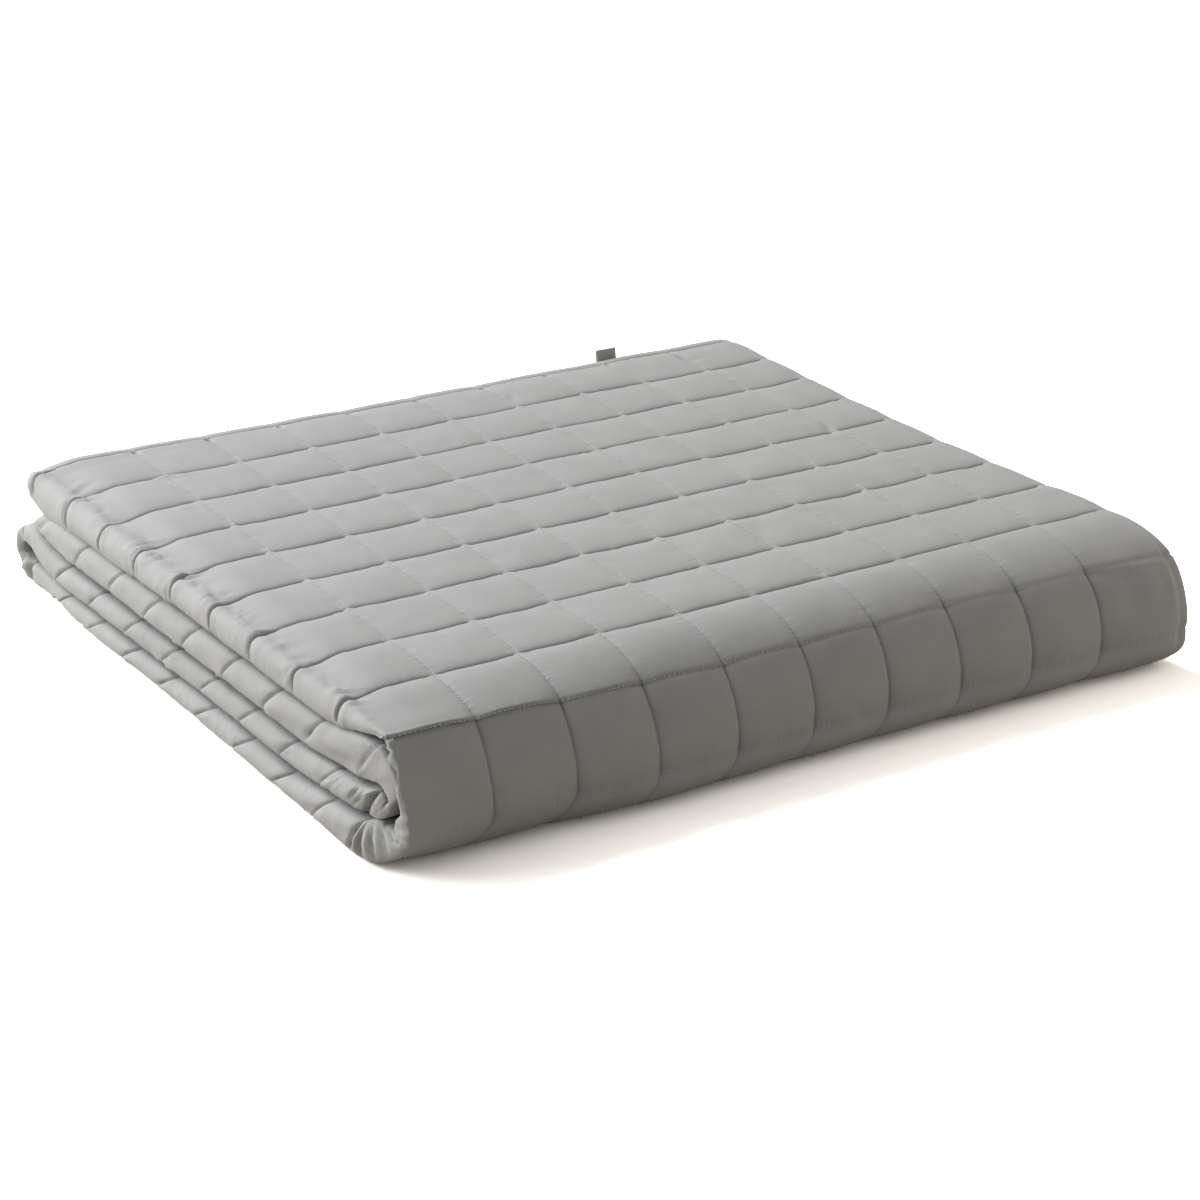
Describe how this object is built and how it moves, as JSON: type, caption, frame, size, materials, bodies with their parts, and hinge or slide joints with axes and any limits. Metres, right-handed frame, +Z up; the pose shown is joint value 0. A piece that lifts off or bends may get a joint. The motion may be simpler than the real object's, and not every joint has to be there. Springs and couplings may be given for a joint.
{
  "type": "folded weighted blanket",
  "caption": "Grey quilted weighted blanket folded into a flat pile, with stitched squares, a wrapped front fold, rounded layered ends and a hem at the back.",
  "frame": {"origin": "middle of the bounding box at the surface that the pile lies on", "axes": "+X along the front fold to the right, +Y from the front fold to the hem at the back, +Z up"},
  "size_m": [0.5406, 0.5058, 0.0882],
  "materials": {
    "blanket_cloth": "matt brushed microfibre, light neutral grey, quilted in squares with tone-on-tone thread",
    "tab_cloth": "plain woven dark grey tape"
  },
  "bodies": {
    "root": {"blanket": "blanket_cloth", "tab": "tab_cloth"}
  },
  "joints": []
}
